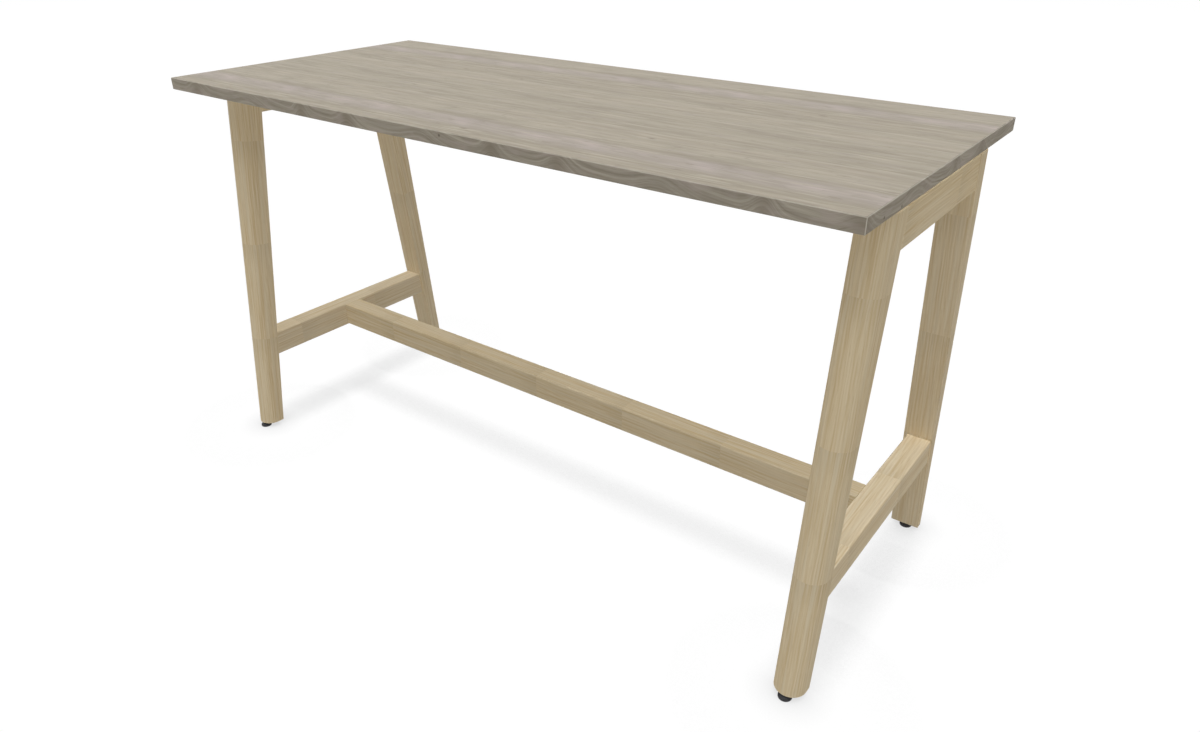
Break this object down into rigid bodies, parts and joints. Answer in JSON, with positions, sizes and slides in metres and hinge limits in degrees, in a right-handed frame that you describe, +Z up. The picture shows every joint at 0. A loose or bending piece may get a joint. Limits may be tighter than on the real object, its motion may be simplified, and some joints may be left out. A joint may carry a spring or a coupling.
{
  "type": "high table",
  "caption": "High table with a wood-decor top floating above splayed wooden end frames, joined by a long footrest bar, on screw-adjustable levelling feet.",
  "frame": {"origin": "on the floor, under the middle of the tabletop", "axes": "+X along the table, +Y towards its back, +Z up"},
  "size_m": [1.6, 0.7, 0.905],
  "materials": {
    "tabletop_decor": "matt wood-decor laminate, grey-beige",
    "edge_band": "matt plastic band printed with wood figure",
    "frame_wood": "pale finger-jointed wood, matt oiled",
    "dowel_wood": "bare fluted beech",
    "zinc_steel": "zinc plated",
    "black_steel": "black zinc",
    "black_plastic": "moulded, matt black"
  },
  "bodies": {
    "frame": {"tabletop_board": "tabletop_decor", "edge_band_front": "edge_band", "edge_band_back": "edge_band", "edge_band_left": "edge_band", "edge_band_right": "edge_band", "leg_front_left": "frame_wood", "leg_front_right": "frame_wood", "leg_back_left": "frame_wood", "leg_back_right": "frame_wood", "top_rail_left": "frame_wood", "top_rail_right": "frame_wood", "cross_bar_left": "frame_wood", "cross_bar_right": "frame_wood", "footrest_bar": "frame_wood", "frame_dowels_left": "dowel_wood", "frame_dowels_right": "dowel_wood", "footrest_dowels": "dowel_wood", "footrest_cam_bolts": "zinc_steel", "footrest_cam_barrels": "zinc_steel", "top_spacers": "black_plastic", "top_screws": "zinc_steel", "top_inserts": "zinc_steel", "foot_inserts": "zinc_steel"},
    "pad_front_left": {"glide_pad_front_left": "black_plastic"},
    "stud_front_left": {"glide_stud_front_left": "black_steel"},
    "pad_back_left": {"glide_pad_back_left": "black_plastic"},
    "stud_back_left": {"glide_stud_back_left": "black_steel"},
    "pad_front_right": {"glide_pad_front_right": "black_plastic"},
    "stud_front_right": {"glide_stud_front_right": "black_steel"},
    "pad_back_right": {"glide_pad_back_right": "black_plastic"},
    "stud_back_right": {"glide_stud_back_right": "black_steel"}
  },
  "joints": [
    {"name": "level_front_left", "type": "slide", "parent": "frame", "child": "pad_front_left", "axis": [0, 0, -1], "range_m": [0, 0.014]},
    {"name": "turn_front_left", "type": "hinge", "parent": "pad_front_left", "child": "stud_front_left", "pos_m": [-0.766, -0.3145, 0.0048], "axis": [0, 0, -1], "range_deg": [0, 2880]},
    {"name": "level_back_left", "type": "slide", "parent": "frame", "child": "pad_back_left", "axis": [0, 0, -1], "range_m": [0, 0.014]},
    {"name": "turn_back_left", "type": "hinge", "parent": "pad_back_left", "child": "stud_back_left", "pos_m": [-0.766, 0.2935, 0.0048], "axis": [0, 0, -1], "range_deg": [0, 2880]},
    {"name": "level_front_right", "type": "slide", "parent": "frame", "child": "pad_front_right", "axis": [0, 0, -1], "range_m": [0, 0.014]},
    {"name": "turn_front_right", "type": "hinge", "parent": "pad_front_right", "child": "stud_front_right", "pos_m": [0.766, -0.3145, 0.0048], "axis": [0, 0, -1], "range_deg": [0, 2880]},
    {"name": "level_back_right", "type": "slide", "parent": "frame", "child": "pad_back_right", "axis": [0, 0, -1], "range_m": [0, 0.014]},
    {"name": "turn_back_right", "type": "hinge", "parent": "pad_back_right", "child": "stud_back_right", "pos_m": [0.766, 0.2935, 0.0048], "axis": [0, 0, -1], "range_deg": [0, 2880]}
  ],
  "couplings": [
    {"joint": "level_front_left", "follows": "turn_front_left", "m_per_rad": 0.00019894},
    {"joint": "level_back_left", "follows": "turn_back_left", "m_per_rad": 0.00019894},
    {"joint": "level_front_right", "follows": "turn_front_right", "m_per_rad": 0.00019894},
    {"joint": "level_back_right", "follows": "turn_back_right", "m_per_rad": 0.00019894}
  ]
}
